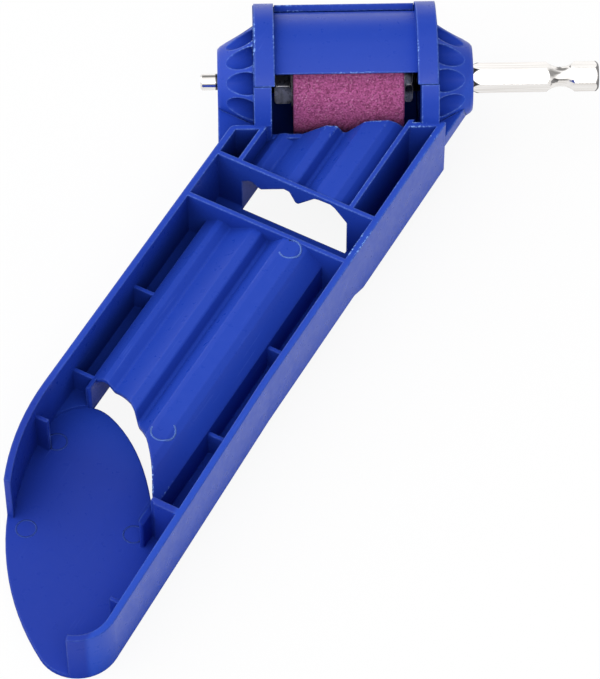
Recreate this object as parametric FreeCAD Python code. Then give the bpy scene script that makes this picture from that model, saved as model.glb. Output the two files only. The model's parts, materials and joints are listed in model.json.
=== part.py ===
import FreeCAD, Part
import math
import os

Vector = FreeCAD.Vector

# Drill bit sharpener attachment: a drill guide tray with a grinding wheel in a drum at its end.
# Built with the spindle along X, the wheel chamber centred on x = 0 and the tray top level.
# Lengths are in millimetres and angles in degrees.

# Spindle
SHANK_FLATS = 6.35
SHANK_LENGTH = 31.1
SHANK_CHAMFER = 0.6
SHANK_ROOT_LENGTH = 1.6
SHANK_TURN_ANGLE = 53.0
DETENT_FROM_TIP = 9.2
DETENT_WIDTH = 6.8
DETENT_CORE_RADIUS = 2.4
SPINDLE_RADIUS = 3.0
PIN_RADIUS = 2.0
PIN_REACH = 4.15
PIN_CHAMFER = 0.35

# Grinding wheel and its clamping hardware
WHEEL_RADIUS = 13.5
WHEEL_LENGTH = 26.6
WHEEL_OFFSET = 0.65
WHEEL_CHAMFER = 0.3
WASHER_RADIUS = 6.2
WASHER_THICKNESS = 0.4
NUT_FLATS = 10.0
NUT_TURN_ANGLE = 66.0
NUT_CHAMFER = 0.5
LEFT_NUT_THICKNESS = 4.05
RIGHT_NUT_THICKNESS = 2.0
NUT_GAP = 0.8

# Drum, cover and bands
WHEEL_CLEARANCE = 1.4
HOOD_WALL = 1.6
LAP_CLEARANCE = 0.2
SHELL_WALL = 1.65
FRONT_WALL = 1.4
BAND_STEP = 0.4
CHEEK_THICKNESS = 4.25
COVER_BAND_INSET = 0.8
COVER_BAND_SETBACK = 0.25
COVER_SIDE_GAP = 0.2
HOOD_FRONT_ANGLE = 55.0
SEAM_FRONT_ANGLE = 45.0
SEAM_REAR_ANGLE = 150.0
SEAM_GAP_ANGLE = 0.4
SHELL_LIP_ANGLE = 140.0

# Bearing caps
BOSS_LENGTH = 8.65
BOSS_BASE_RADIUS = 13.55
BOSS_END_RADIUS = 8.15
BOSS_EDGE = 0.6
FLUTE_COUNT = 12
FLUTE_RADIUS = 2.7
FLUTE_FLOOR_RADIUS = 9.45
FLUTE_PHASE_ANGLE = 17.0
SPIGOT_RADIUS = 9.5
SPIGOT_LENGTH = 3.55
CAP_BORE_RADIUS = 4.2

# Ball bearings
BEARING_RADIUS = 6.5
BEARING_WIDTH = 5.0
BEARING_RECESS = 0.4
LEFT_BALL_RADIUS = 1.0
LEFT_BALL_COUNT = 7
RIGHT_BALL_RADIUS = 0.9
RIGHT_BALL_COUNT = 8
BALL_CLEARANCE = 0.04
RACE_LAND = 0.7
CAGE_THICKNESS = 0.8
CAGE_WIDTH = 3.0
SHIELD_THICKNESS = 0.2
SHIELD_INSET = 0.2
SHIELD_GAP = 0.2
SEAT_CLEARANCE = 0.02

# Drill guide tray; along is measured down the tray and across from its left outer face
TRAY_ANGLE = 60.0
TRAY_WIDTH = 44.74
TRAY_SHOULDER = 5.83
TRAY_TOP = 4.64
TRAY_DEPTH = 15.24
TRAY_WALL = 1.6
TRAY_RIB = 1.2
TRAY_FLOOR = 1.2
FRONT_DROP = 2.0
FRONT_LENGTH = 15.5
FRONT_RAMP = 4.5
CHANNEL_STEP = 0.8
GUIDE_PLATE = 0.95
GUIDE_BEND_RADIUS = 0.7
UPPER_RIB_ALONG = 8.0
LOWER_RIB_ALONG = 22.4
RIB_SLOT = 0.7
TRAY_STRAIGHT = 86.1
FLARE_START = 61.2
FLARE_ANGLE = 1.5
END_SWEEP_RADIUS = 65.6
END_CORNER_RADIUS = 9.6
LEFT_WALL_END = 113.5
RIGHT_WRAP_ANGLE = 17.5
FRONT_SETBACK = 0.85
LEFT_CORNER_RADIUS = 1.8
RIGHT_CORNER_RADIUS = 0.5
GUIDE_END_LEFT = 76.2
GUIDE_END_CURVE = ((77.5, 14.5), (82.6, 22.4), (91.4, 30.95))
GUIDE_END_RIGHT = 102.8
LEFT_INNER_END = 79.0
RIGHT_INNER_END = 106.5
CHANNEL_END = 101.4
LEFT_BRACES = (48.2, 75.7)
RIGHT_BRACES = (48.7, 76.5)
BRACE_THICKNESS = 1.0
BRACE_TOP = -1.7
LEFT_BUTTRESS_ALONG = 93.2
RIGHT_BUTTRESS_ALONG = 127.5
BUTTRESS_REACH = 3.2
BUTTRESS_TOP = 1.6
WEB_TOP = -0.2
WEB_THICKNESS = 3.6

# Top line of the drill guide, as across and height points, with its two grooves
GUIDE_PROFILE = (
    (6.5, -1.85),
    (9.6, 0.25),
    (11.0, 0.4),
    (13.1, -0.85),
    (19.25, 2.95),
    (21.55, 2.7),
    (23.1, -0.2),
    (27.2, 4.05),
    (28.6, 4.4),
    (32.2, 4.55),
    (33.8, 3.65),
    (37.6, -0.55),
)

# Front edge of the end rest, as along and across points of a smooth curve
REST_EDGE = (
    (88.3, 1.25),
    (82.2, 3.2),
    (78.4, 8.4),
    (79.75, 15.2),
    (85.1, 23.65),
    (94.7, 32.7),
    (103.1, 38.6),
)

# Sizes that follow from the driving dimensions
HOOD_INNER_RADIUS = WHEEL_RADIUS + WHEEL_CLEARANCE
HOOD_RADIUS = HOOD_INNER_RADIUS + HOOD_WALL
CHAMBER_RADIUS = HOOD_RADIUS + LAP_CLEARANCE
DRUM_RADIUS = CHAMBER_RADIUS + SHELL_WALL
BAND_RADIUS = DRUM_RADIUS + BAND_STEP
LAND_RADIUS = HOOD_RADIUS - LAP_CLEARANCE
WHEEL_LEFT = WHEEL_OFFSET - WHEEL_LENGTH / 2
WHEEL_RIGHT = WHEEL_LEFT + WHEEL_LENGTH
CHEEK_INNER = WASHER_THICKNESS + LEFT_NUT_THICKNESS + NUT_GAP - WHEEL_LEFT
CHEEK_OUTER = CHEEK_INNER + CHEEK_THICKNESS
CAP_END = CHEEK_OUTER + BOSS_LENGTH
BEARING_OUTER = CAP_END - BEARING_RECESS
BEARING_INNER = BEARING_OUTER - BEARING_WIDTH
BEARING_MIDDLE = BEARING_OUTER - BEARING_WIDTH / 2
SHANK_SHOULDER = BEARING_OUTER
SHANK_TIP = SHANK_SHOULDER + SHANK_LENGTH
PIN_TIP = -(CAP_END + PIN_REACH)
TRAY_BOTTOM = TRAY_TOP - TRAY_DEPTH
FLOOR_TOP = TRAY_BOTTOM + TRAY_FLOOR
FRONT_BOTTOM = TRAY_BOTTOM - FRONT_DROP
FRONT_FLOOR_TOP = FRONT_BOTTOM + TRAY_FLOOR
CHANNEL_FLOOR_TOP = FLOOR_TOP + CHANNEL_STEP
CORNER_X = -(CHEEK_OUTER + TRAY_SHOULDER)
CORNER_Y = -(CHAMBER_RADIUS + FRONT_WALL)
TRAY_COS = math.cos(math.radians(TRAY_ANGLE))
TRAY_SIN = math.sin(math.radians(TRAY_ANGLE))
LEFT_INNER = GUIDE_PROFILE[0][0]
RIGHT_INNER = GUIDE_PROFILE[-1][0]
FLARE_COS = math.cos(math.radians(FLARE_ANGLE))
FLARE_SIN = math.sin(math.radians(FLARE_ANGLE))
FLARE_TAN = FLARE_SIN / FLARE_COS

# The end corner's centre lies its radius inside the flared wall and the end sweep touches its arc
CORNER_LINE_ALONG = FLARE_START + END_CORNER_RADIUS * FLARE_SIN
CORNER_LINE_ACROSS = TRAY_WIDTH - END_CORNER_RADIUS * FLARE_COS
SWEEP_ALONG = CORNER_LINE_ALONG - TRAY_STRAIGHT
SWEEP_ACROSS = CORNER_LINE_ACROSS - END_SWEEP_RADIUS
SWEEP_OFF_LINE = SWEEP_ALONG * FLARE_SIN - SWEEP_ACROSS * FLARE_COS
CORNER_RUN = math.sqrt((END_SWEEP_RADIUS - END_CORNER_RADIUS) ** 2 - SWEEP_OFF_LINE**2) - (
    SWEEP_ALONG * FLARE_COS + SWEEP_ACROSS * FLARE_SIN
)
CORNER_ALONG = CORNER_LINE_ALONG + CORNER_RUN * FLARE_COS
CORNER_ACROSS = CORNER_LINE_ACROSS + CORNER_RUN * FLARE_SIN
BEYOND = TRAY_WIDTH + TRAY_DEPTH
OVERLAP = BRACE_THICKNESS / 2


# General shapes

def box(low, high):
    """Block between two corners."""
    size = Vector(*high) - Vector(*low)
    return Part.makeBox(size.x, size.y, size.z, Vector(*low))


def polygon_face(points):
    """Flat face through corner points."""
    return Part.Face(Part.makePolygon(list(points) + [points[0]]))


def plan_prism(points, low, high):
    """Upright prism on plan points."""
    face = polygon_face([Vector(a, b, low) for a, b in points])
    return face.extrude(Vector(0, 0, high - low))


def turned(profile):
    """Solid turned about the spindle from x and radius points."""
    face = polygon_face([Vector(x, radius, 0) for x, radius in profile])
    return face.revolve(Vector(0, 0, 0), Vector(1, 0, 0), 360)


def ring(inner, outer, low, high):
    """Tube about the spindle."""
    return turned([(low, inner), (high, inner), (high, outer), (low, outer)])


def rod(radius, low, high):
    """Round bar on the spindle axis."""
    return Part.makeCylinder(radius, high - low, Vector(low, 0, 0), Vector(1, 0, 0))


def at_angle(radius, angle, x=0.0):
    """Point on a circle about the spindle; 0 degrees faces the tray and 90 is up."""
    turn = math.radians(angle)
    return Vector(x, -radius * math.cos(turn), radius * math.sin(turn))


def ring_sector(inner, outer, low, high, start, end):
    """Part of a tube about the spindle between two angles."""
    corners = [(low, inner), (high, inner), (high, outer), (low, outer)]
    face = polygon_face([at_angle(radius, start, x) for x, radius in corners])
    return face.revolve(Vector(0, 0, 0), Vector(-1, 0, 0), end - start)


def hexagon(flats, low, high, turn):
    """Hexagon bar along the spindle, with a flat facing the turn angle."""
    reach = flats / math.sqrt(3)
    face = polygon_face([at_angle(reach, turn + 30 + 60 * k, low) for k in range(6)])
    return face.extrude(Vector(high - low, 0, 0))


def mirrored(shape):
    """Copy of a shape on the other side of the wheel chamber."""
    return shape.mirror(Vector(0, 0, 0), Vector(1, 0, 0))


def fused(shapes):
    """One solid from touching or overlapping shapes."""
    return shapes[0].multiFuse(shapes[1:]).removeSplitter()


# Spindle and wheel

def chamfered_hexagon(flats, low, high, turn, chamfer):
    """Hexagon bar whose corners are turned off at both ends."""
    corner = flats / math.sqrt(3)
    blank = turned([
        (low, 0),
        (low, corner - chamfer),
        (low + chamfer, corner),
        (high - chamfer, corner),
        (high, corner - chamfer),
        (high, 0),
    ])
    return hexagon(flats, low, high, turn).common(blank)


def drive_shaft():
    """Stepped spindle with a hexagon shank and its ball detent groove."""
    body = turned([
        (PIN_TIP, 0),
        (PIN_TIP, PIN_RADIUS - PIN_CHAMFER),
        (PIN_TIP + PIN_CHAMFER, PIN_RADIUS),
        (-BEARING_INNER, PIN_RADIUS),
        (-BEARING_INNER, SPINDLE_RADIUS),
        (SHANK_SHOULDER + OVERLAP, SPINDLE_RADIUS),
        (SHANK_SHOULDER + OVERLAP, 0),
    ])
    corner = SHANK_FLATS / math.sqrt(3)
    root = turned([
        (SHANK_SHOULDER, 0),
        (SHANK_SHOULDER, SPINDLE_RADIUS),
        (SHANK_SHOULDER + SHANK_ROOT_LENGTH, corner),
        (SHANK_TIP, corner),
        (SHANK_TIP, 0),
    ])
    shank = chamfered_hexagon(
        SHANK_FLATS, SHANK_SHOULDER, SHANK_TIP, SHANK_TURN_ANGLE, SHANK_CHAMFER
    ).common(root)
    depth = corner - DETENT_CORE_RADIUS
    sweep = ((DETENT_WIDTH / 2) ** 2 + depth**2) / (2 * depth)
    groove = Part.makeTorus(
        DETENT_CORE_RADIUS + sweep,
        sweep,
        Vector(SHANK_TIP - DETENT_FROM_TIP, 0, 0),
        Vector(1, 0, 0),
    )
    return fused([body, shank.cut(groove)])


def grinding_wheel():
    """Abrasive cylinder with a plain bore."""
    bore = SPINDLE_RADIUS + SEAT_CLEARANCE
    return turned([
        (WHEEL_LEFT, bore),
        (WHEEL_LEFT, WHEEL_RADIUS - WHEEL_CHAMFER),
        (WHEEL_LEFT + WHEEL_CHAMFER, WHEEL_RADIUS),
        (WHEEL_RIGHT - WHEEL_CHAMFER, WHEEL_RADIUS),
        (WHEEL_RIGHT, WHEEL_RADIUS - WHEEL_CHAMFER),
        (WHEEL_RIGHT, bore),
    ])


def wheel_nut(low, thickness):
    """Hexagon nut on the spindle."""
    blank = chamfered_hexagon(NUT_FLATS, low, low + thickness, NUT_TURN_ANGLE, NUT_CHAMFER)
    bore = rod(SPINDLE_RADIUS + SEAT_CLEARANCE, low - OVERLAP, low + thickness + OVERLAP)
    return blank.cut(bore)


def clamp_washer(low):
    """Flat washer between a nut and the wheel."""
    bore = SPINDLE_RADIUS + SEAT_CLEARANCE
    return ring(bore, WASHER_RADIUS, low, low + WASHER_THICKNESS)


# Bearing caps and ball bearings, on the shank side and mirrored for the pin side

def bearing_cap():
    """Fluted conical boss with a spigot in the cheek and a pocket for the bearing."""
    pocket = BEARING_RADIUS + SEAT_CLEARANCE
    slope = (BOSS_BASE_RADIUS - BOSS_END_RADIUS) / BOSS_LENGTH
    body = turned([
        (CHEEK_OUTER - SPIGOT_LENGTH, CAP_BORE_RADIUS),
        (CHEEK_OUTER - SPIGOT_LENGTH, SPIGOT_RADIUS),
        (CHEEK_OUTER, SPIGOT_RADIUS),
        (CHEEK_OUTER, BOSS_BASE_RADIUS),
        (CAP_END - BOSS_EDGE, BOSS_END_RADIUS + slope * BOSS_EDGE),
        (CAP_END, BOSS_END_RADIUS - BOSS_EDGE / 2),
        (CAP_END, pocket),
        (BEARING_INNER, pocket),
        (BEARING_INNER, CAP_BORE_RADIUS),
    ])
    flutes = []
    for k in range(FLUTE_COUNT):
        angle = FLUTE_PHASE_ANGLE + 360.0 / FLUTE_COUNT * k
        start = at_angle(FLUTE_FLOOR_RADIUS + FLUTE_RADIUS, angle, CHEEK_OUTER)
        flutes.append(Part.makeCylinder(FLUTE_RADIUS, BOSS_LENGTH, start, Vector(1, 0, 0)))
    return body.cut(flutes)


def bearing(bore, ball_radius, ball_count):
    """Pieces of a shielded ball bearing: outer ring, inner ring, balls, cage and shields."""
    low = BEARING_INNER
    high = BEARING_OUTER
    inner_land = bore + RACE_LAND + ball_radius / 2
    pitch = inner_land + RACE_LAND
    outer_land = pitch + RACE_LAND
    middle = Vector(BEARING_MIDDLE, 0, 0)
    race = Part.makeTorus(pitch, ball_radius + BALL_CLEARANCE, middle, Vector(1, 0, 0))
    outer = ring(outer_land, BEARING_RADIUS, low, high).cut(race)
    inner = ring(bore + SEAT_CLEARANCE, inner_land, low, high).cut(race)
    balls = []
    pockets = []
    pocket = ball_radius + 2 * BALL_CLEARANCE
    for k in range(ball_count):
        angle = 360.0 / ball_count * k
        ball = Part.makeSphere(ball_radius)
        ball.translate(at_angle(pitch, angle, BEARING_MIDDLE))
        balls.append(ball)
        slot = box((BEARING_MIDDLE - pocket, 0, -pocket), (high, outer_land, pocket))
        slot.rotate(Vector(0, 0, 0), Vector(1, 0, 0), 180 - angle)
        pockets.append(slot)
    cage = ring(
        pitch - CAGE_THICKNESS / 2,
        pitch + CAGE_THICKNESS / 2,
        BEARING_MIDDLE - CAGE_WIDTH / 2,
        BEARING_MIDDLE + ball_radius / 2,
    ).cut(pockets)
    shields = []
    for start in (low + SHIELD_INSET, high - SHIELD_INSET - SHIELD_THICKNESS):
        shields.append(ring(
            inner_land + SHIELD_GAP,
            outer_land - SEAT_CLEARANCE,
            start,
            start + SHIELD_THICKNESS,
        ))
    return {
        "outer_ring": outer,
        "inner_ring": inner,
        "balls": Part.makeCompound(balls),
        "cage": cage,
        "shields": Part.makeCompound(shields),
    }


# Wheel cover

def wheel_cover():
    """Hood over the wheel with a band at each end that rests on the cheeks."""
    front = SEAM_FRONT_ANGLE + SEAM_GAP_ANGLE
    rear = SEAM_REAR_ANGLE - SEAM_GAP_ANGLE
    side = CHEEK_INNER - COVER_SIDE_GAP
    band_inner = CHEEK_INNER - COVER_BAND_INSET
    band_outer = CHEEK_OUTER - COVER_BAND_SETBACK
    panel = ring_sector(
        HOOD_INNER_RADIUS, HOOD_RADIUS, -side, side, HOOD_FRONT_ANGLE, rear
    )
    band = ring_sector(HOOD_RADIUS, BAND_RADIUS, band_inner, band_outer, front, rear)
    flange = ring_sector(HOOD_INNER_RADIUS, BAND_RADIUS, band_inner, side, front, rear)
    return fused([panel, band, flange, mirrored(band), mirrored(flange)])


# Tray moulding, drawn flat with along as x and across as y, then turned into place

def to_frame(shape):
    """Turn a tray shape from its own axes to the spindle's."""
    placed = shape.copy()
    placed.rotate(Vector(0, 0, 0), Vector(0, 0, 1), 180 + TRAY_ANGLE)
    placed.translate(Vector(CORNER_X, CORNER_Y, 0))
    return placed


def plan_point(along, across):
    """Plan position of a tray point in the spindle's axes."""
    return (
        CORNER_X - along * TRAY_COS + across * TRAY_SIN,
        CORNER_Y - along * TRAY_SIN - across * TRAY_COS,
    )


def front_along(across, setback):
    """Where a line across the tray meets the front line, set back from the tray's corner."""
    return (setback - across * TRAY_COS) / TRAY_SIN


def tray_outline(inset, front_setback, low, high):
    """Prism on the tray's plan, inset from its outer face."""
    left = inset
    right = TRAY_WIDTH - inset
    sweep = END_SWEEP_RADIUS - inset
    corner = END_CORNER_RADIUS - inset
    sweep_centre = Vector(TRAY_STRAIGHT, END_SWEEP_RADIUS, low)
    corner_centre = Vector(CORNER_ALONG, CORNER_ACROSS, low)
    toward = (corner_centre - sweep_centre).normalize()
    outward = Vector(-FLARE_SIN, FLARE_COS, 0)
    halfway = (toward + Vector(0, -1, 0)).normalize()
    bulge = (toward + outward).normalize()
    bend_along = FLARE_START + inset * (1 - FLARE_COS) / FLARE_SIN
    points = [
        Vector(front_along(left, front_setback), left, low),
        Vector(TRAY_STRAIGHT, left, low),
        sweep_centre + halfway * sweep,
        sweep_centre + toward * sweep,
        corner_centre + bulge * corner,
        corner_centre + outward * corner,
        Vector(bend_along, right, low),
        Vector(front_along(right, front_setback), right, low),
    ]
    edges = [
        Part.LineSegment(points[0], points[1]),
        Part.Arc(points[1], points[2], points[3]),
        Part.Arc(points[3], points[4], points[5]),
        Part.LineSegment(points[5], points[6]),
        Part.LineSegment(points[6], points[7]),
        Part.LineSegment(points[7], points[0]),
    ]
    face = Part.Face(Part.Wire([edge.toShape() for edge in edges]))
    return face.extrude(Vector(0, 0, high - low))


def rounded_line(points, radius):
    """Edges through points, with an arc at every bend."""
    edges = []
    start = points[0]
    for before, bend, after in zip(points, points[1:], points[2:]):
        back = (before - bend).normalize()
        onward = (after - bend).normalize()
        half = back.getAngle(onward) / 2
        reach = radius / math.tan(half)
        inward = (back + onward).normalize()
        middle = bend + inward * (radius / math.sin(half) - radius)
        edges.append(Part.LineSegment(start, bend + back * reach))
        edges.append(Part.Arc(bend + back * reach, middle, bend + onward * reach))
        start = bend + onward * reach
    edges.append(Part.LineSegment(start, points[-1]))
    return [edge.toShape() for edge in edges]


def guide_line(thickness):
    """Top line of the drill guide, or its underside at an even thickness below."""
    points = [Vector(0, across, height) for across, height in GUIDE_PROFILE]
    normals = []
    for here, there in zip(points, points[1:]):
        run = (there - here).normalize()
        normals.append(Vector(0, run.z, -run.y))
    line = [points[0] + Vector(0, 0, thickness / normals[0].z)]
    for bend, before, after in zip(points[1:], normals, normals[1:]):
        line.append(bend + (before + after) * (thickness / (1 + before.dot(after))))
    line.append(points[-1] + Vector(0, 0, thickness / normals[-1].z))
    return line


def guide_space(thickness, level, start, end):
    """Prism between the guide's top line, or its underside, and a level."""
    line = [point + Vector(start, 0, 0) for point in guide_line(thickness)]
    corners = [
        line[-1],
        Vector(start, RIGHT_INNER, level),
        Vector(start, LEFT_INNER, level),
        line[0],
    ]
    wire = Part.Wire(
        rounded_line(line, GUIDE_BEND_RADIUS) + Part.makePolygon(corners).Edges
    )
    return Part.Face(wire).extrude(Vector(end - start, 0, 0))


def smooth_line(points):
    """Edge that runs smoothly through points."""
    curve = Part.BSplineCurve()
    curve.interpolate(points)
    return curve.toShape()


def guide_plan():
    """Plan of the lower drill guide, down to its curved end."""
    low = TRAY_BOTTOM - BEYOND
    start = LOWER_RIB_ALONG
    left_end = Vector(GUIDE_END_LEFT, LEFT_INNER, low)
    right_end = Vector(GUIDE_END_RIGHT, RIGHT_INNER, low)
    curve = [Vector(along, across, low) for along, across in GUIDE_END_CURVE]
    straight = [right_end, Vector(start, RIGHT_INNER, low), Vector(start, LEFT_INNER, low), left_end]
    wire = Part.Wire([smooth_line([left_end] + curve + [right_end])] + Part.makePolygon(straight).Edges)
    return Part.Face(wire).extrude(Vector(0, 0, 2 * BEYOND))


def rest_plan():
    """Plan of the end rest, from its curved front edge onward."""
    low = TRAY_BOTTOM - BEYOND
    curve = [Vector(along, across, low) for along, across in REST_EDGE]
    far = CORNER_ALONG + BEYOND
    straight = [
        curve[-1],
        Vector(curve[-1].x, BEYOND, low),
        Vector(far, BEYOND, low),
        Vector(far, -BEYOND, low),
        Vector(curve[0].x, -BEYOND, low),
        curve[0],
    ]
    wire = Part.Wire([smooth_line(curve)] + Part.makePolygon(straight).Edges)
    return Part.Face(wire).extrude(Vector(0, 0, 2 * BEYOND))


def profile_prism(points):
    """Prism across the whole tray on along and height points."""
    face = polygon_face([Vector(along, -BEYOND, height) for along, height in points])
    return face.extrude(Vector(0, 3 * BEYOND, 0))


def strip(start, end, left, right, low, high):
    """Upright block between two places along the tray."""
    return box((start, left, low), (end, right, high))


def rounded_wall(end, left):
    """Thin upright wall down the tray with a rounded end."""
    low = TRAY_BOTTOM - BEYOND
    rib = TRAY_RIB / 2
    wall = strip(0, end - rib, left, left + TRAY_RIB, low, TRAY_TOP + BEYOND)
    tip = Part.makeCylinder(rib, TRAY_TOP + BEYOND - low, Vector(end - rib, left + rib, low))
    return wall.fuse(tip)


def front_strip(setback, end, left, right, low, high):
    """Upright block from a face of the front wall down the tray."""
    return plan_prism(
        [
            (front_along(left, setback), left),
            (front_along(right, setback), right),
            (end, right),
            (end, left),
        ],
        low,
        high,
    )


def round_corner(body, along, across, radius):
    """Body with the upright edge at a plan point rounded."""
    place = Vector(along, across, 0)
    corner = min(
        body.Edges, key=lambda edge: (edge.CenterOfMass - place).cross(Vector(0, 0, 1)).Length
    )
    return body.makeFillet(radius, [corner])


def brace(along, left, right, high):
    """Thin upright stiffener across a channel."""
    return strip(
        along - BRACE_THICKNESS / 2, along + BRACE_THICKNESS / 2, left, right, TRAY_BOTTOM, high
    )


def tray_braces():
    """Stiffeners in the side channels and buttresses at the end rest's walls."""
    wall_middle = TRAY_WALL / 2
    sweep_drop = END_SWEEP_RADIUS - math.sqrt(
        END_SWEEP_RADIUS**2 - (LEFT_BUTTRESS_ALONG - TRAY_STRAIGHT) ** 2
    )
    left_wall = TRAY_WALL + sweep_drop
    flare = (RIGHT_BUTTRESS_ALONG - FLARE_START) * FLARE_TAN
    right_wall = TRAY_WIDTH - TRAY_WALL + flare
    braces = [
        brace(LEFT_BUTTRESS_ALONG, left_wall - OVERLAP, left_wall + BUTTRESS_REACH, BUTTRESS_TOP),
        brace(RIGHT_BUTTRESS_ALONG, right_wall - BUTTRESS_REACH, right_wall + OVERLAP, BUTTRESS_TOP),
    ]
    for along in LEFT_BRACES:
        braces.append(brace(along, wall_middle, LEFT_INNER + OVERLAP, BRACE_TOP))
    for along in RIGHT_BRACES:
        braces.append(brace(along, RIGHT_INNER - OVERLAP, TRAY_WIDTH - wall_middle, BRACE_TOP))
    return braces


def tray():
    """Guide tray with its grooved drill guide, side channels, ribs and end rest."""
    above = TRAY_TOP + BEYOND
    below = TRAY_BOTTOM - BEYOND
    far = CORNER_ALONG + BEYOND
    rib = TRAY_RIB / 2
    upper_near = UPPER_RIB_ALONG - rib
    upper_far = UPPER_RIB_ALONG + rib
    lower_near = LOWER_RIB_ALONG - rib
    lower_far = LOWER_RIB_ALONG + rib
    inner_left = LEFT_INNER + TRAY_RIB
    inner_right = RIGHT_INNER - TRAY_RIB
    guide_start = front_along(TRAY_WIDTH, -FRONT_WALL) - OVERLAP
    slot_end = upper_far + RIB_SLOT

    front = FRONT_SETBACK - FRONT_WALL
    body = tray_outline(0, front, FRONT_BOTTOM, TRAY_TOP)
    body = round_corner(body, front_along(0, front), 0, LEFT_CORNER_RADIUS)
    body = round_corner(body, front_along(TRAY_WIDTH, front), TRAY_WIDTH, RIGHT_CORNER_RADIUS)
    nose = front_strip(-FRONT_WALL, upper_near, LEFT_INNER, RIGHT_INNER, FRONT_BOTTOM, TRAY_TOP)
    body = fused([body, nose])
    ramp_end = FRONT_LENGTH + FRONT_RAMP
    underside = profile_prism([
        (FRONT_LENGTH, FRONT_BOTTOM),
        (ramp_end, TRAY_BOTTOM),
        (far, TRAY_BOTTOM),
        (far, below),
        (FRONT_LENGTH, below),
    ])

    inside = tray_outline(TRAY_WALL, FRONT_SETBACK, below, above)
    front_floor = profile_prism([
        (-BEYOND, FRONT_FLOOR_TOP),
        (FRONT_LENGTH, FRONT_FLOOR_TOP),
        (ramp_end, FLOOR_TOP),
        (lower_near, FLOOR_TOP),
        (lower_near, above),
        (-BEYOND, above),
    ])
    front_pockets = [
        front_strip(FRONT_SETBACK, upper_near, 0, LEFT_INNER, below, above),
        front_strip(FRONT_SETBACK, upper_near, RIGHT_INNER, TRAY_WIDTH, below, above),
        strip(upper_far, lower_near, 0, TRAY_WIDTH, below, above),
    ]
    front_spaces = [pocket.common(inside).common(front_floor) for pocket in front_pockets]

    channels = [
        strip(lower_far, REST_EDGE[0][0], 0, LEFT_INNER, CHANNEL_FLOOR_TOP, above),
        strip(lower_far, CHANNEL_END, RIGHT_INNER, TRAY_WIDTH + OVERLAP, CHANNEL_FLOOR_TOP, above),
    ]
    channel_spaces = [channel.common(inside) for channel in channels]

    upper_guide = guide_space(0, above, guide_start, upper_near).common(
        strip(guide_start, upper_near, inner_left, inner_right, below, above)
    )
    upper_under = guide_space(GUIDE_PLATE, below, guide_start, slot_end).common(
        front_strip(0, slot_end, LEFT_INNER + TRAY_WALL, inner_right, below, above)
    )
    plate = guide_plan()
    rest = rest_plan()
    lower_guide = guide_space(0, above, lower_far, RIGHT_INNER_END)
    under_strip = strip(lower_far, GUIDE_END_RIGHT, inner_left, inner_right, below, above)
    lower_under = guide_space(GUIDE_PLATE, below, lower_far, GUIDE_END_RIGHT).common(
        plate
    ).common(under_strip)
    end_gap = under_strip.cut([plate, rest])

    rest_space = tray_outline(TRAY_WALL, 0, FLOOR_TOP, above).common(rest).cut([
        rounded_wall(LEFT_INNER_END, LEFT_INNER),
        rounded_wall(RIGHT_INNER_END, inner_right),
        strip(0, CHANNEL_END + TRAY_RIB, RIGHT_INNER, BEYOND, below, above),
    ])
    wrap = math.radians(RIGHT_WRAP_ANGLE)
    open_end = plan_prism(
        [
            (LEFT_WALL_END, -BEYOND),
            (far, -BEYOND),
            (CORNER_ALONG + BEYOND * math.cos(wrap), CORNER_ACROSS + BEYOND * math.sin(wrap)),
            (CORNER_ALONG, CORNER_ACROSS),
            (LEFT_WALL_END, CORNER_ACROSS),
        ],
        FLOOR_TOP,
        above,
    )
    body = body.cut(front_spaces + channel_spaces + [
        underside,
        upper_guide,
        upper_under,
        lower_guide,
        lower_under,
        end_gap,
        rest_space,
        open_end,
    ])
    return to_frame(fused([body] + tray_braces()))


def cheek():
    """Shank side end wall of the drum, with a land under the cover's band."""
    disc = rod(BAND_RADIUS, CHEEK_INNER, CHEEK_OUTER)
    land = ring_sector(
        LAND_RADIUS,
        BAND_RADIUS + BEYOND,
        CHEEK_INNER - OVERLAP,
        CHEEK_OUTER + OVERLAP,
        SEAM_FRONT_ANGLE,
        SEAM_REAR_ANGLE,
    )
    spigot_hole = rod(SPIGOT_RADIUS + SEAT_CLEARANCE, 0, CAP_END)
    tray_side = box(
        (0, -BEYOND, -BEYOND),
        (CAP_END, CORNER_Y, TRAY_TOP),
    )
    return disc.cut([land, spigot_hole, tray_side])


def side_webs():
    """Flat webs that tie the cheeks to the tray beside the two bearing caps."""
    low = WEB_TOP - WEB_THICKNESS
    wall_middle = TRAY_WALL / 2
    seat = CHEEK_OUTER - OVERLAP
    left_end = (CAP_END + CORNER_X) / TRAY_COS
    right_end = (CORNER_X + TRAY_WIDTH * TRAY_SIN - CAP_END) / TRAY_COS
    left = plan_prism(
        [
            (-seat, 0),
            (-CAP_END, 0),
            plan_point(left_end, 0),
            plan_point(left_end, wall_middle),
            plan_point(wall_middle, wall_middle),
            (-seat, CORNER_Y),
        ],
        low,
        WEB_TOP,
    )
    right = plan_prism(
        [
            (seat, 0),
            (CAP_END, 0),
            plan_point(right_end, TRAY_WIDTH),
            plan_point(front_along(TRAY_WIDTH, 0), TRAY_WIDTH),
            (seat, CORNER_Y),
        ],
        low,
        WEB_TOP,
    )
    cone = turned([
        (CHEEK_OUTER - OVERLAP, 0),
        (CHEEK_OUTER - OVERLAP, SPIGOT_RADIUS),
        (CHEEK_OUTER, SPIGOT_RADIUS),
        (CHEEK_OUTER, BOSS_BASE_RADIUS + SEAT_CLEARANCE),
        (CAP_END, BOSS_END_RADIUS + SEAT_CLEARANCE),
        (CAP_END + OVERLAP, BOSS_END_RADIUS),
        (CAP_END + OVERLAP, 0),
    ])
    return [left.cut(mirrored(cone)), right.cut(cone)]


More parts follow.
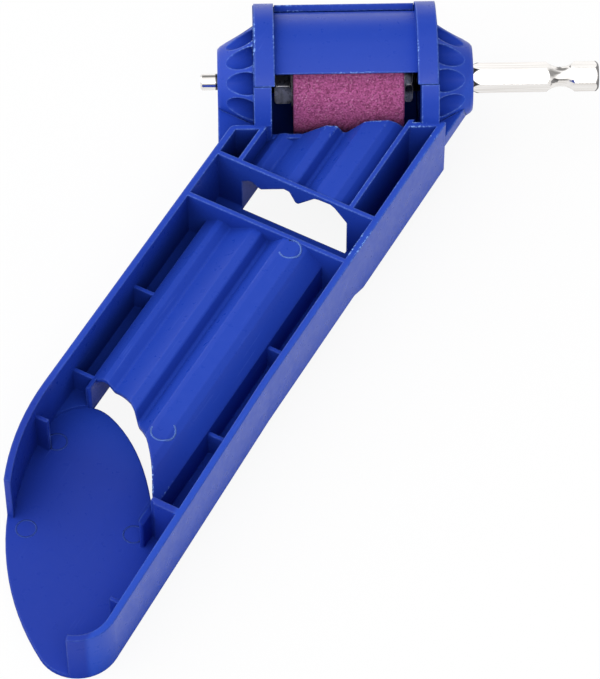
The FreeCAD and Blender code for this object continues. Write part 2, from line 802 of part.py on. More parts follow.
def tray_body():
    """Tray, drum shell, cheeks and webs as one moulding."""
    shell = ring_sector(
        CHAMBER_RADIUS,
        DRUM_RADIUS,
        -CHEEK_INNER - OVERLAP,
        CHEEK_INNER + OVERLAP,
        SEAM_REAR_ANGLE,
        360.0,
    )
    lip_half = CHEEK_INNER - COVER_BAND_INSET - LAP_CLEARANCE
    lip = ring_sector(
        CHAMBER_RADIUS, DRUM_RADIUS, -lip_half, lip_half, SHELL_LIP_ANGLE, SEAM_REAR_ANGLE
    )
    tray_side = box((-CAP_END, -BEYOND, -BEYOND), (CAP_END, CORNER_Y, TRAY_TOP))
    end_wall = cheek()
    drum = [shell.cut(tray_side), lip, end_wall, mirrored(end_wall)]
    body = fused([tray()] + drum + side_webs())
    return body.cut(rod(CHAMBER_RADIUS, -CHEEK_INNER, CHEEK_INNER))


# Assembly

def rest_tilt():
    """Lean, about the spindle, at which the drum's bands and the tray's end share one surface."""
    end = CORNER_Y - CORNER_ALONG * TRAY_SIN - CORNER_ACROSS * TRAY_COS - END_CORNER_RADIUS
    reach = math.hypot(end, TRAY_BOTTOM)
    return math.degrees(math.asin(BAND_RADIUS / reach) - math.atan2(-TRAY_BOTTOM, -end))


def nodes():
    """Every piece of the sharpener by name."""
    cap = bearing_cap()
    pieces = {
        "tray_body": tray_body(),
        "wheel_cover": wheel_cover(),
        "left_bearing_cap": mirrored(cap),
        "right_bearing_cap": cap,
        "drive_shaft": drive_shaft(),
        "grinding_wheel": grinding_wheel(),
        "left_wheel_nut": wheel_nut(
            WHEEL_LEFT - WASHER_THICKNESS - LEFT_NUT_THICKNESS, LEFT_NUT_THICKNESS
        ),
        "right_wheel_nut": wheel_nut(WHEEL_RIGHT + WASHER_THICKNESS, RIGHT_NUT_THICKNESS),
        "left_clamp_washer": clamp_washer(WHEEL_LEFT - WASHER_THICKNESS),
        "right_clamp_washer": clamp_washer(WHEEL_RIGHT),
    }
    for name, shape in bearing(PIN_RADIUS, LEFT_BALL_RADIUS, LEFT_BALL_COUNT).items():
        pieces["left_bearing_" + name] = mirrored(shape)
    for name, shape in bearing(SPINDLE_RADIUS, RIGHT_BALL_RADIUS, RIGHT_BALL_COUNT).items():
        pieces["right_bearing_" + name] = shape
    return pieces


# The origin is the centre of the shank's tip; the part stands as it rests on a bench

os.makedirs("parts", exist_ok=True)
tilt = rest_tilt()
for node, shape in nodes().items():
    placed = shape.copy()
    placed.rotate(Vector(0, 0, 0), Vector(1, 0, 0), tilt)
    placed.translate(Vector(-SHANK_TIP, 0, 0))
    placed.exportStep("parts/" + node + ".step")
    print(node, len(placed.Solids), placed.isValid(), round(placed.Volume, 2))
print("rest tilt", round(tilt, 3))
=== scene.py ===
import json
import math

import bmesh
import bpy
from mathutils import Matrix, Vector
from mathutils.bvhtree import BVHTree


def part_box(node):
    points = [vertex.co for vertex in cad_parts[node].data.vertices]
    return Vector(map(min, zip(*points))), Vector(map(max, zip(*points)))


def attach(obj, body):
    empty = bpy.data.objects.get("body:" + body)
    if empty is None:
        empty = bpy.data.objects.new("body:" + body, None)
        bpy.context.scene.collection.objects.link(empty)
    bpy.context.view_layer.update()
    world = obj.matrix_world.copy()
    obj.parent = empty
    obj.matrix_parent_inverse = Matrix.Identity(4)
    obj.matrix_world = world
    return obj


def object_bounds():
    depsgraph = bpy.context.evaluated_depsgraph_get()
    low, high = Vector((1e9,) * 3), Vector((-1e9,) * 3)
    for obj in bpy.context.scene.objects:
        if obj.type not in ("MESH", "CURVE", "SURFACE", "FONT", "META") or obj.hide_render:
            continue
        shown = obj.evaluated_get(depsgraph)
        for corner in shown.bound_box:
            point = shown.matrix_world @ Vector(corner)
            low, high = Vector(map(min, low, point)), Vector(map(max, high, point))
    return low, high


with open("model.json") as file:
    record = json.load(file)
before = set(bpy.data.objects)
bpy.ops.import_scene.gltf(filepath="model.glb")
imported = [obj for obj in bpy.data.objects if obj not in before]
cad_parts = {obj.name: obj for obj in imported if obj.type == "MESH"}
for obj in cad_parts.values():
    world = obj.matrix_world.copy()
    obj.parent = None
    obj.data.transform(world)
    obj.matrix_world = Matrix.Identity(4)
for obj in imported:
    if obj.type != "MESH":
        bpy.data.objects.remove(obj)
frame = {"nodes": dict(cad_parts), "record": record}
cad_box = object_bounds()
part_middle = (cad_box[0] + cad_box[1]) / 2

# Places are given in millimetres in the spindle's own axes: x along the spindle from the middle of
# the wheel chamber, y away from the tray and z up; the part leans about x as it rests on the bench.
MM = 0.001
REST_TILT = math.radians(2.879)
CHAMBER_MIDDLE = sum(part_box("wheel_cover"), Vector()) / 2
LEAN = Matrix.Rotation(REST_TILT, 3, "X")

# Tray axes: along runs down the tray and across from its left outer face
TRAY_ANGLE = math.radians(60.0)
TRAY_CORNER = (-27.98, -18.1)

# Stretches over which the moulding changes: along the tray, painted shade deepens the blue toward the thumb
# rest and the pale edges grow stronger toward the wheel; across it, the painted shade in hollows grows
# lighter and a painted sheen pales the right outer face
THUMB_REST_SHADE_ALONG = (78.0, 95.0)
PALE_EDGES_ALONG = (60.0, -10.0)
HOLLOW_SHADE_ACROSS = (12.0, 36.0)
SHEEN_FLANK_ACROSS = (43.2, 44.4)

# Camera, in the spindle's own axes
CAMERA_AZIMUTH = math.radians(-1.19)
CAMERA_ELEVATION = math.radians(53.23)
CAMERA_DISTANCE = 967.0
CAMERA_SIDE = -10.84
CAMERA_RISE = -62.92
CAMERA_LENS = 211.49

# Ejector pin marks as along, across and radius; those on the plate are raised on one side only, which
# the last value gives in degrees from along toward across
PLATE_MARKS = ((25.4, 30.4, 2.6, 75.0), (84.6, 30.45, 2.8, 30.0))
FLOOR_MARKS = ((90.7, 5.5, 2.3), (114.7, 11.7, 2.3), (104.4, 33.7, 2.3))
MARK_WIDTH = 0.5
MARK_HEIGHT = 0.1
MARK_STEPS = 72

# A mark's section in shares of its width and height, and shares of the height: all round an even mark,
# mean and swing of a raised one, and under the surface where a raised one ends
MARK_SECTION = ((-0.5, -0.5), (-0.3, 0.7), (0.0, 1.0), (0.3, 0.7), (0.5, -0.5))
MARK_EVEN = 0.5
MARK_MEAN = 0.4
MARK_SWING = 0.7
MARK_SUNK = -0.5

# Height from which the tray's surface is searched
ABOVE_TRAY = 20.0

# Spindle: the frame's x at the outer faces of the bearing caps and at the shank's tip, the radius at
# the tip, half the width across the shank's flats, and the thread, which fades out at its reach
# either side of the chamber's middle
LEFT_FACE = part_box("left_bearing_cap")[0].x / MM
RIGHT_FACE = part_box("right_bearing_cap")[1].x / MM
SHANK_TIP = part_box("drive_shaft")[1].x / MM
TIP_RADIUS = 3.066
HEX_FLAT = 3.175
THREAD_PITCH = 1.0
THREAD_REACH = (20.0, 19.5)

# Darkening of the shaft, each stretch from where it fades out to where it is full: painted shade out from
# the caps' faces on the pin and the shank, and into the caps; darker in the groove, out from the right cap
# and below the flats; darker inward from the tip's chamfer. On the shank the painted shade reaches further
# out with the radius.
PIN_ROOT_SHADE = (0.7, 0.4)
SHANK_ROOT_SHADE = (0.1, -0.3)
REACH_PER_RADIUS = 4.0
INTO_CAP_SHADE = (-1.0, -0.5)
GROOVE_DARK_REACH = (2.0, 3.0)
GROOVE_DEPTH = (0.05, 0.2)
TIP_DARK_REACH = (0.4, 0.25)

# Scuffed places of the moulding, and places on the nuts' flats where grey reflections are painted, each
# with its reach, and the share of the reach over which they show in full
SCUFFS = (
    (-19.1, -18.0, 5.1, 2.5),
    (17.2, -17.8, 4.6, 3.5),
    (19.9, -21.6, 4.6, 2.0),
    (1.3, -54.2, 4.6, 6.0),
    (17.1, -6.1, 17.7, 5.0),
    (2.1, -8.6, 14.1, 6.0),
    (-13.5, 13.3, 11.2, 4.0),
    (-22.0, -2.0, 17.0, 8.0),
    (-45.4, -118.5, 2.1, 5.0),
    (-4.0, -16.8, 2.9, 4.0),
    (6.7, -16.8, 4.4, 4.0),
)
NUT_REFLECTIONS = ((-15.5, -5.1, 0.3, 4.0), (15.2, -5.1, -0.9, 2.4), (14.6, -3.6, 3.9, 1.8))
FULL_SHARE = 0.4

# Colours of the moulding
BLUE_TONES = ((0.016, 0.051, 0.385), (0.0175, 0.056, 0.42))
BLUE_MOTTLE = (0.022, 0.067, 0.45)
# Painted shade toward the thumb rest
BLUE_THUMB_REST_SHADE = (0.0145, 0.04, 0.332)
# Painted sheen on the right outer face
BLUE_FLANK_SHEEN = (0.0185, 0.065, 0.45)
# Pale edges: partly wear, partly painted highlight on the rounded edges
BLUE_WORN_AND_HIGHLIGHT = (0.2, 0.36, 0.86)
BLUE_SCUFF = (0.3, 0.52, 1.0)
BLUE_SCRATCH = (0.12, 0.2, 0.66)
# Painted shade in hollows
BLUE_HOLLOW_SHADE = (0.004, 0.013, 0.13)

# Colours of the wheel
PINK_GRAINS = ((0.195, 0.03, 0.105), (0.48, 0.113, 0.305))
PINK_CLOUD = (0.33, 0.056, 0.18)
PINK_PORE_SHADE = (0.10, 0.014, 0.054)
PINK_PAINTED_GLINT = (0.66, 0.32, 0.48)

# Colours of the metals; a pair is dark and light
PLATED_TONES = ((0.74, 0.71, 0.68), (0.88, 0.86, 0.84))
# Dark of the shaft: painted shade at the caps and edges; also the darker thread, groove and tip
SHAFT_SHADE_AND_DARK = (0.07, 0.07, 0.075)
BLACK_TONES = ((0.02, 0.021, 0.03), (0.035, 0.037, 0.05))
# Painted reflections on the nuts' flats and painted highlights on their corners
BLACK_REFLECTION = (0.5, 0.53, 0.68)
BLACK_CORNER_HIGHLIGHT = (0.9, 0.9, 0.9)
STEEL_TONES = ((0.5, 0.5, 0.51), (0.66, 0.66, 0.67))
BRASS_TONES = ((0.58, 0.38, 0.14), (0.72, 0.5, 0.2))

# Rays spent at each point on rounded edges and on open air
EDGE_SAMPLES = 6
AIR_SAMPLES = 4

# Surroundings: direction of a dim patch and the cosines over which it begins, heights over which the
# front and the right change, and the width of the change from one side to the next
PATCH_AIM = (0.0, 0.73, 0.68)
PATCH_EDGE = (0.87, 0.97)
FRONT_HEIGHTS = (0.2, 0.45)
RIGHT_HEIGHTS = (0.15, 0.5)
SIDE_CHANGE = (-0.1, 0.1)


def spindle_point(x, y, z):
    """Point in the spindle's axes, as a place in the frame."""
    middle = Vector((CHAMBER_MIDDLE.x, 0, 0))
    return LEAN @ Vector((x, y, z)) * MM + middle


def tray_point(along, across, height):
    """Point in the tray's axes, as a place in the frame."""
    cos = math.cos(TRAY_ANGLE)
    sin = math.sin(TRAY_ANGLE)
    x = TRAY_CORNER[0] - along * cos + across * sin
    y = TRAY_CORNER[1] - along * sin - across * cos
    return spindle_point(x, y, height)


def add_object(name, data):
    """New object in the scene."""
    item = bpy.data.objects.new(name, data)
    bpy.context.scene.collection.objects.link(item)
    return item


# Materials

class Tree:
    """Node tree of a material or world, with short ways to add and link nodes."""

    def __init__(self, owner):
        owner.use_nodes = True
        self.nodes = owner.node_tree.nodes
        self.links = owner.node_tree.links
        self.nodes.clear()

    def add(self, kind, **settings):
        """New node with its plain settings."""
        node = self.nodes.new(kind)
        for key, value in settings.items():
            setattr(node, key, value)
        return node

    def put(self, socket, value):
        """Link an output to a socket, or set a constant on it."""
        if isinstance(value, bpy.types.NodeSocket):
            self.links.new(value, socket)
        else:
            socket.default_value = value

    def ramp(self, value, low, high, start=0.0, end=1.0):
        """Value mapped smoothly from one range to another."""
        node = self.add("ShaderNodeMapRange", interpolation_type="SMOOTHSTEP")
        for socket, number in zip(node.inputs, (value, low, high, start, end)):
            self.put(socket, number)
        return node.outputs["Result"]

    def math(self, operation, a, b=0.0):
        """Sum, difference or other operation on two values."""
        node = self.add("ShaderNodeMath", operation=operation)
        self.put(node.inputs[0], a)
        self.put(node.inputs[1], b)
        return node.outputs["Value"]

    def times(self, first, *others):
        """Product of values."""
        for other in others:
            first = self.math("MULTIPLY", first, other)
        return first

    def vector_math(self, operation, a, b):
        """Outputs of an operation on two vectors."""
        node = self.add("ShaderNodeVectorMath", operation=operation)
        self.put(node.inputs[0], a)
        self.put(node.inputs[1], b)
        return node.outputs

    def split(self, vector):
        """X, Y and Z of a vector."""
        node = self.add("ShaderNodeSeparateXYZ")
        self.put(node.inputs["Vector"], vector)
        return node.outputs

    def seen_directly(self):
        """One for rays that show the background itself: camera, glossy and transmission rays."""
        path = self.add("ShaderNodeLightPath").outputs
        bounced = self.math("MAXIMUM", path["Is Glossy Ray"], path["Is Transmission Ray"])
        return self.math("MAXIMUM", path["Is Camera Ray"], bounced)


class Recipe(Tree):
    """One procedural material, built node by node around a principled shader."""

    def __init__(self, name, **settings):
        self.material = bpy.data.materials.new(name)
        super().__init__(self.material)
        self.shader = self.add("ShaderNodeBsdfPrincipled")
        output = self.add("ShaderNodeOutputMaterial")
        self.links.new(self.shader.outputs["BSDF"], output.inputs["Surface"])
        for socket, value in settings.items():
            self.shader.inputs[socket.replace("_", " ")].default_value = value
        coordinates = self.add("ShaderNodeTexCoord").outputs["Object"]
        self.place = self.stretched(coordinates, (1 / MM, 1 / MM, 1 / MM))

    def stretched(self, vector, scale):
        """Coordinates scaled axis by axis."""
        return self.vector_math("MULTIPLY", vector, scale)["Vector"]

    def noise(self, scale, detail, vector=None):
        """Smooth noise, with scale in cycles per millimetre."""
        node = self.add("ShaderNodeTexNoise")
        self.put(node.inputs["Vector"], vector or self.place)
        self.put(node.inputs["Scale"], scale)
        self.put(node.inputs["Detail"], detail)
        return node.outputs["Fac"]

    def cells(self, scale):
        """Outputs of a cell pattern, with scale in cells per millimetre."""
        node = self.add("ShaderNodeTexVoronoi")
        self.put(node.inputs["Vector"], self.place)
        self.put(node.inputs["Scale"], scale)
        return node.outputs

    def tray_distance(self, along, across):
        """Distance from the tray's corner, in millimetres, toward one of the tray's own directions."""
        start = tray_point(0.0, 0.0, 0.0) / MM
        lead = tray_point(along, across, 0.0) / MM - start
        reached = self.vector_math("DOT_PRODUCT", self.place, lead)["Value"]
        return self.math("SUBTRACT", reached, start.dot(lead))

    def along_tray(self, scale):
        """Coordinates turned to run along the tray, across it and up, scaled axis by axis."""
        node = self.add("ShaderNodeVectorRotate", rotation_type="Z_AXIS")
        self.put(node.inputs["Vector"], self.place)
        self.put(node.inputs["Angle"], -TRAY_ANGLE)
        return self.stretched(node.outputs["Vector"], scale)

    def about_spindle(self):
        """Place along the spindle and distance from its axis, in millimetres."""
        x, y, z = self.split(self.place)
        squares = [self.times(axis, axis) for axis in (y, z)]
        return x, self.math("SQRT", self.math("ADD", *squares))

    def near(self, places):
        """One close to any of some places, given with their reach in the spindle's axes."""
        total = 0.0
        for x, y, z, reach in places:
            away = self.vector_math("DISTANCE", self.place, spindle_point(x, y, z) / MM)["Value"]
            total = self.math("MAXIMUM", self.ramp(away, reach, FULL_SHARE * reach), total)
        return total

    def mix(self, share, a, b):
        """Blend of two colours."""
        node = self.add("ShaderNodeMix", data_type="RGBA")
        self.put(node.inputs[0], share)
        for socket, value in zip(node.inputs[6:8], (a, b)):
            self.put(socket, value if isinstance(value, bpy.types.NodeSocket) else (*value, 1.0))
        return node.outputs[2]

    def rounded(self, radius):
        """Normal that rounds every edge by a radius, and how far it turns there."""
        bevel = self.add("ShaderNodeBevel", samples=EDGE_SAMPLES)
        self.put(bevel.inputs["Radius"], radius * MM)
        normal = bevel.outputs["Normal"]
        flat = self.add("ShaderNodeNewGeometry").outputs["Normal"]
        kept = self.vector_math("DOT_PRODUCT", normal, flat)["Value"]
        return normal, self.math("SUBTRACT", 1.0, kept)

    def open_air(self, reach, alone):
        """One where nothing stands close above the surface, less in corners; alone skips other pieces."""
        node = self.add("ShaderNodeAmbientOcclusion", samples=AIR_SAMPLES, only_local=alone)
        self.put(node.inputs["Distance"], reach * MM)
        return node.outputs["AO"]

    def facing_up(self):
        """Height of the surface's direction: one on level faces, zero on upright walls."""
        return self.split(self.add("ShaderNodeNewGeometry").outputs["Normal"])["Z"]

    def bump(self, height, distance, strength, normal=None):
        """Normal roughened by a height, whose full travel is a distance in millimetres."""
        node = self.add("ShaderNodeBump")
        self.put(node.inputs["Strength"], strength)
        self.put(node.inputs["Distance"], distance * MM)
        self.put(node.inputs["Height"], height)
        if normal is not None:
            self.put(node.inputs["Normal"], normal)
        return node.outputs["Normal"]

    def finish(self, **sockets):
        """Link what varies over the surface to the shader and return the material."""
        for socket, value in sockets.items():
            self.put(self.shader.inputs[socket.replace("_", " ")], value)
        return self.material


def moulded_plastic(name, lift):
    """Semi-gloss blue plastic with scuffs and scratches; pale edges that are partly wear and partly painted
    highlight, painted shade in hollows and toward the thumb rest, and a painted sheen on the right outer
    face; lift pales it all, as a painted highlight on the ejector marks.
    """
    blue = Recipe(name, IOR=1.27)
    tone = blue.noise(0.03, 3.0)
    mottle = blue.noise(0.5, 4.0)
    fine = blue.noise(1.6, 3.0)
    grain = blue.noise(7.0, 2.0)
    drag = blue.noise(1.0, 3.0, blue.along_tray((0.06, 2.2, 0.7)))
    normal, edge = blue.rounded(radius=0.65)
    edge = blue.times(edge, blue.ramp(blue.open_air(reach=1.2, alone=True), 0.78, 0.95))
    air = blue.open_air(reach=14.0, alone=False)
    down = blue.tray_distance(1.0, 0.0)
    across = blue.tray_distance(0.0, 1.0)
    sheen_flank = blue.ramp(across, *SHEEN_FLANK_ACROSS)

    base = blue.mix(tone, *BLUE_TONES)
    base = blue.mix(blue.ramp(mottle, 0.55, 0.8, 0.0, 0.3), base, BLUE_MOTTLE)
    # Painted shade: the blue deepens toward the thumb rest
    base = blue.mix(blue.ramp(down, *THUMB_REST_SHADE_ALONG), base, BLUE_THUMB_REST_SHADE)
    # Painted sheen: the right outer face is paler, in place of the light it reflects
    base = blue.mix(sheen_flank, base, BLUE_FLANK_SHEEN)
    patchy = blue.ramp(fine, 0.45, 0.68, 0.2, 0.6)
    # Pale edges: partly wear, partly painted highlight where rounded edges catch the light
    worn_and_highlight = blue.times(blue.ramp(edge, 0.01, 0.08), patchy, blue.ramp(down, *PALE_EDGES_ALONG, 0.25, 1.0))
    base = blue.mix(blue.math("ADD", worn_and_highlight, lift), base, BLUE_WORN_AND_HIGHLIGHT)
    scuff = blue.times(blue.near(SCUFFS), blue.ramp(fine, 0.5, 0.58), blue.ramp(edge, 0.001, 0.03))
    base = blue.mix(scuff, base, BLUE_SCUFF)
    scratch = blue.times(blue.ramp(drag, 0.64, 0.7), blue.ramp(tone, 0.48, 0.62, 0.0, 0.12))
    base = blue.mix(scratch, base, BLUE_SCRATCH)
    # Painted shade in hollows: darker where little open air is above, lighter toward the right
    shade = blue.ramp(across, *HOLLOW_SHADE_ACROSS, 0.7, 0.25)
    base = blue.mix(blue.ramp(air, 0.75, 0.2, 0.0, shade), base, BLUE_HOLLOW_SHADE)

    rough = blue.math("ADD", blue.ramp(mottle, 0.3, 0.7, 0.27, 0.36), blue.times(worn_and_highlight, 0.15))
    level = blue.ramp(blue.facing_up(), 0.1, 0.6, 0.4, 1.0)
    polish = blue.math("MAXIMUM", level, blue.times(sheen_flank, 0.72))
    gloss = blue.times(blue.ramp(air, 0.97, 0.6, 0.5, 0.0), polish)
    normal = blue.bump(grain, 0.012, 0.4, normal)
    return blue.finish(Base_Color=base, Roughness=rough, Specular_IOR_Level=gloss, Normal=normal)


def corundum():
    """Bonded pink abrasive: fine grains of many tones, with painted shade as dark pores and paler grains
    painted as glints.
    """
    pink = Recipe("corundum", IOR=1.6, Specular_IOR_Level=0.3)
    grains = pink.cells(3.0)
    chance = pink.add("ShaderNodeSeparateColor")
    pink.put(chance.inputs["Color"], grains["Color"])
    red, green, blue = chance.outputs
    cloud = pink.noise(0.25, 4.0)
    base = pink.mix(red, *PINK_GRAINS)
    base = pink.mix(pink.ramp(cloud, 0.35, 0.7, 0.0, 0.2), base, PINK_CLOUD)
    # Painted shade: dark pores
    base = pink.mix(pink.ramp(green, 0.16, 0.1, 0.0, 0.55), base, PINK_PORE_SHADE)
    # Painted glints: a few paler grains
    base = pink.mix(pink.ramp(green, 0.93, 0.97, 0.0, 0.3), base, PINK_PAINTED_GLINT)
    height = pink.math("ADD", pink.times(grains["Distance"], -0.6), blue)
    normal = pink.bump(height, 0.1, 0.6)
    rough = pink.ramp(green, 0.85, 1.0, 0.85, 0.5)
    return pink.finish(Base_Color=base, Roughness=rough, Normal=normal)


def plated_shaft():
    """Drawn and plated steel: darker along the thread between the nuts, in the groove and toward the tip;
    painted shade where the pin and shank enter the caps and along the edges.
    """
    steel = Recipe("plated_steel", Metallic=1.0)
    x, radius = steel.about_spindle()
    normal, edge = steel.rounded(radius=0.15)
    line = steel.noise(1.0, 3.0, steel.stretched(steel.place, (0.06, 2.5, 2.5)))
    cloud = steel.noise(0.35, 3.0)
    blotch = steel.noise(0.4, 2.0)

    from_middle = steel.math("ABSOLUTE", steel.math("SUBTRACT", x, CHAMBER_MIDDLE.x / MM))
    past_left = steel.math("SUBTRACT", LEFT_FACE, x)
    past_right = steel.math("SUBTRACT", x, RIGHT_FACE)
    below_flat = steel.math("SUBTRACT", HEX_FLAT, radius)
    past_corner = steel.math("ADD", past_right, steel.times(below_flat, REACH_PER_RADIUS))
    from_chamfer = steel.math("SUBTRACT", steel.math("SUBTRACT", SHANK_TIP + TIP_RADIUS, x), radius)

    thread = steel.ramp(from_middle, *THREAD_REACH)
    # Painted shade where the pin and the shank enter the caps
    pin_root_shade = steel.times(steel.ramp(past_left, *PIN_ROOT_SHADE), steel.ramp(past_left, *INTO_CAP_SHADE))
    shank_root_shade = steel.times(steel.ramp(past_corner, *SHANK_ROOT_SHADE), steel.ramp(past_right, *INTO_CAP_SHADE))
    groove = steel.times(steel.ramp(below_flat, *GROOVE_DEPTH), steel.ramp(blotch, 0.6, 0.64))
    groove = steel.times(groove, steel.ramp(past_right, *GROOVE_DARK_REACH, 0.0, 0.8))
    tip = steel.ramp(from_chamfer, *TIP_DARK_REACH, 0.0, 0.85)
    # Painted shade along the rounded edges
    dark = steel.ramp(edge, 0.03, 0.25, 0.0, 0.6)
    for mask in (thread, pin_root_shade, shank_root_shade, groove, tip):
        dark = steel.math("MAXIMUM", dark, mask)

    base = steel.mix(steel.ramp(line, 0.3, 0.7), *PLATED_TONES)
    base = steel.mix(dark, base, SHAFT_SHADE_AND_DARK)
    gloss = steel.math("ADD", steel.ramp(cloud, 0.3, 0.7, 0.08, 0.14), steel.times(thread, 0.2))
    turns = steel.math("SINE", steel.times(x, 2 * math.pi / THREAD_PITCH))
    normal = steel.bump(line, 0.006, 0.6, normal)
    normal = steel.bump(steel.times(turns, thread), 0.3, 1.0, normal)
    return steel.finish(Base_Color=base, Roughness=gloss, Normal=normal)


def black_oxide():
    """Blackened steel: satin dark finish, with reflections painted grey on some flats and highlights
    painted pale on the corners.
    """
    steel = Recipe("black_steel", Metallic=0.35, IOR=1.6)
    normal, edge = steel.rounded(radius=0.45)
    line = steel.noise(1.0, 3.0, steel.stretched(steel.place, (1.2, 0.5, 0.5)))
    cloud = steel.noise(0.6, 3.0)
    # Painted reflections: grey on some flats of the nuts
    painted_reflection = steel.times(steel.near(NUT_REFLECTIONS), steel.ramp(line, 0.25, 0.6, 0.6, 1.0))
    base = steel.mix(steel.ramp(line, 0.3, 0.7), *BLACK_TONES)
    base = steel.mix(painted_reflection, base, BLACK_REFLECTION)
    # Painted highlights on the nuts' corners
    base = steel.mix(steel.ramp(edge, 0.03, 0.13, 0.0, 0.9), base, BLACK_CORNER_HIGHLIGHT)
    gloss = steel.ramp(cloud, 0.3, 0.7, 0.2, 0.34)
    normal = steel.bump(line, 0.01, 0.5, normal)
    return steel.finish(Base_Color=base, Roughness=gloss, Normal=normal)


def turned_metal(name, tones, rough):
    """Ground metal with fine rings about the spindle and bright edges."""
    metal = Recipe(name, Metallic=1.0)
    x, radius = metal.about_spindle()
    place = metal.add("ShaderNodeCombineXYZ")
    metal.put(place.inputs["X"], x)
    metal.put(place.inputs["Y"], radius)
    line = metal.noise(9.0, 2.0, place.outputs["Vector"])
    cloud = metal.noise(0.6, 3.0)
    normal, edge = metal.rounded(radius=0.12)
    base = metal.mix(metal.ramp(line, 0.3, 0.7), *tones)
    base = metal.mix(metal.ramp(edge, 0.03, 0.25, 0.0, 0.5), base, tones[1])
    gloss = metal.ramp(cloud, 0.3, 0.7, rough * 0.7, rough * 1.3)
    normal = metal.bump(line, 0.004, 0.6, normal)
    return metal.finish(Base_Color=base, Roughness=gloss, Normal=normal)


finishes = {
    "moulded_blue": moulded_plastic("moulded_blue", lift=0.0),
    "corundum": corundum(),
    "plated_steel": plated_shaft(),
    "black_steel": black_oxide(),
    "bearing_steel": turned_metal("bearing_steel", STEEL_TONES, rough=0.24),
    "cage_brass": turned_metal("cage_brass", BRASS_TONES, rough=0.3),
}
# Paler blue on the ejector marks: a painted highlight on their ridges
plate_mark_highlight_blue = moulded_plastic("plate_mark_highlight_blue", lift=0.45)
floor_mark_highlight_blue = moulded_plastic("floor_mark_highlight_blue", lift=0.08)
for part in frame["record"]["subparts"]:
    mesh = frame["nodes"][part["node"]].data
    mesh.materials.clear()
    mesh.materials.append(finishes[part["material_slot"]])


# Ejector pin marks: low ridges laid on the tray's surface

def surface_tree(node):
    """Search tree over a node's faces."""
    mesh = frame["nodes"][node].data
    return BVHTree.FromPolygons([v.co for v in mesh.vertices], [p.vertices for p in mesh.polygons])


def ejector_mark(name, tree, finish, along, across, radius, raised=None):
    """Ring-shaped ridge that follows the surface under it, even or raised toward one side in degrees."""
    up = LEAN @ Vector((0, 0, 1))
    mesh = bmesh.new()
    rings = []
    for step in range(MARK_STEPS):
        turn = 2 * math.pi * step / MARK_STEPS
        share = MARK_EVEN
        if raised is not None:
            share = MARK_MEAN + MARK_SWING * math.cos(turn - math.radians(raised))
        ring = []
        for side, rise in MARK_SECTION:
            reach = radius + side * MARK_WIDTH
            above = tray_point(along + reach * math.cos(turn), across + reach * math.sin(turn), ABOVE_TRAY)
            hit = tree.ray_cast(above, -up)[0]
            lift = rise * share if share > 0 else MARK_SUNK
            ring.append(mesh.verts.new(hit + up * lift * MARK_HEIGHT * MM))
        rings.append(ring)
    for ring, following in zip(rings, rings[1:] + rings[:1]):
        for k in range(len(ring)):
            after = (k + 1) % len(ring)
            mesh.faces.new((ring[k], ring[after], following[after], following[k]))
    bmesh.ops.recalc_face_normals(mesh, faces=mesh.faces)
    data = bpy.data.meshes.new(name)
    mesh.to_mesh(data)
    data.polygons.foreach_set("use_smooth", [True] * len(data.polygons))
    data.materials.append(finish)
    piece = add_object(name, data)
    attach(piece, "housing")


tray_surface = surface_tree("tray_body")
marks = [(plate_mark_highlight_blue, *mark) for mark in PLATE_MARKS]
marks += [(floor_mark_highlight_blue, *mark) for mark in FLOOR_MARKS]
for number, mark in enumerate(marks, 1):
    ejector_mark(f"ejector_mark_{number}", tray_surface, *mark)


# Floor, light and camera

def studio_world(patch, back, left, right, front, low_right, low_front):
    """Soft pale surroundings: a strength for each side, the low front and right, and a dim patch behind."""
    world = bpy.data.worlds.new("studio")
    bpy.context.scene.world = world
    sky = Tree(world)
    direction = sky.add("ShaderNodeTexCoord").outputs["Generated"]
    x, y, z = sky.split(direction)
    toward_patch = sky.vector_math("DOT_PRODUCT", direction, PATCH_AIM)["Value"]
    squares = [sky.times(axis, axis) for axis in (x, y)]
    sideways = sky.math("DIVIDE", squares[0], sky.math("ADD", *squares))
    ahead = sky.ramp(z, *FRONT_HEIGHTS, low_front, front)
    beside = sky.ramp(z, *RIGHT_HEIGHTS, low_right, right)
    depth = sky.ramp(y, *SIDE_CHANGE, ahead, back)
    width = sky.ramp(x, *SIDE_CHANGE, left, beside)
    around = sky.ramp(sideways, 0.0, 1.0, depth, width)
    background = sky.add("ShaderNodeBackground")
    sky.put(background.inputs["Color"], (1, 1, 1, 1))
    sky.put(background.inputs["Strength"], sky.ramp(toward_patch, *PATCH_EDGE, around, patch))
    output = sky.add("ShaderNodeOutputWorld")
    sky.put(output.inputs["Surface"], background.outputs["Background"])


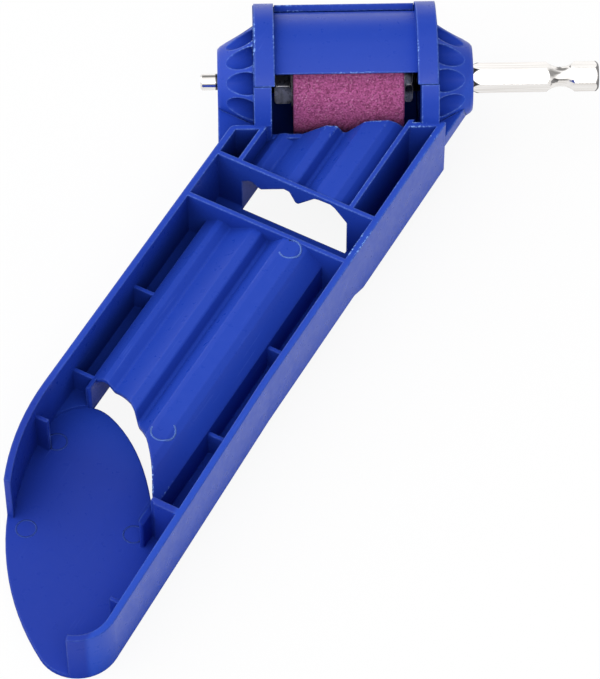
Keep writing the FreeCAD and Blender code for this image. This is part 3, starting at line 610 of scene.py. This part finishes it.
def studio_floor(reach, tone, glow):
    """White table under the part, which keeps a soft shadow; reach is half its side in metres."""
    material = bpy.data.materials.new("floor")
    table = Tree(material)
    mix = table.add("ShaderNodeMixShader")
    diffuse = table.add("ShaderNodeBsdfDiffuse")
    table.put(diffuse.inputs["Color"], (tone, tone, tone, 1))
    table.put(mix.inputs[0], table.times(table.seen_directly(), glow))
    table.put(mix.inputs[1], diffuse.outputs["BSDF"])
    table.put(mix.inputs[2], table.add("ShaderNodeEmission").outputs["Emission"])
    output = table.add("ShaderNodeOutputMaterial")
    table.put(output.inputs["Surface"], mix.outputs["Shader"])
    sides = [(-reach, -reach), (reach, -reach), (reach, reach), (-reach, reach)]
    corners = [(part_middle.x + x, part_middle.y + y, cad_box[0].z) for x, y in sides]
    data = bpy.data.meshes.new("floor")
    data.from_pydata(corners, [], [(0, 1, 2, 3)])
    data.materials.append(material)
    floor = add_object("floor", data)


def soft_light(name, place, size, power):
    """Square softbox aimed at the middle of the part, in metres and watts."""
    data = bpy.data.lights.new(name, "AREA")
    data.size = size
    data.energy = power
    lamp = add_object(name, data)
    lamp.location = place
    lamp.rotation_mode = "QUATERNION"
    lamp.rotation_quaternion = (part_middle - lamp.location).to_track_quat("-Z", "Y")


def photo_camera():
    """Camera at the photograph's place."""
    back = Vector((
        math.sin(CAMERA_AZIMUTH) * math.cos(CAMERA_ELEVATION),
        -math.cos(CAMERA_AZIMUTH) * math.cos(CAMERA_ELEVATION),
        math.sin(CAMERA_ELEVATION),
    ))
    side = Vector((math.cos(CAMERA_AZIMUTH), math.sin(CAMERA_AZIMUTH), 0))
    up = back.cross(side)
    data = bpy.data.cameras.new("camera")
    data.lens = CAMERA_LENS
    camera = add_object("camera", data)
    turn = LEAN @ Matrix((side, up, back)).transposed()
    place = spindle_point(*(back * CAMERA_DISTANCE + side * CAMERA_SIDE + up * CAMERA_RISE))
    camera.matrix_world = Matrix.Translation(place) @ turn.to_4x4()
    bpy.context.scene.camera = camera


bpy.context.scene.view_settings.view_transform = "Standard"
studio_world(patch=0.3, back=1.2, left=1.8, right=0.35, front=1.7, low_right=1.2, low_front=0.3)
studio_floor(reach=3.0, tone=0.82, glow=0.9)
soft_light("key_softbox", place=(0.03, -0.78, 0.72), size=0.25, power=1.0)
photo_camera()
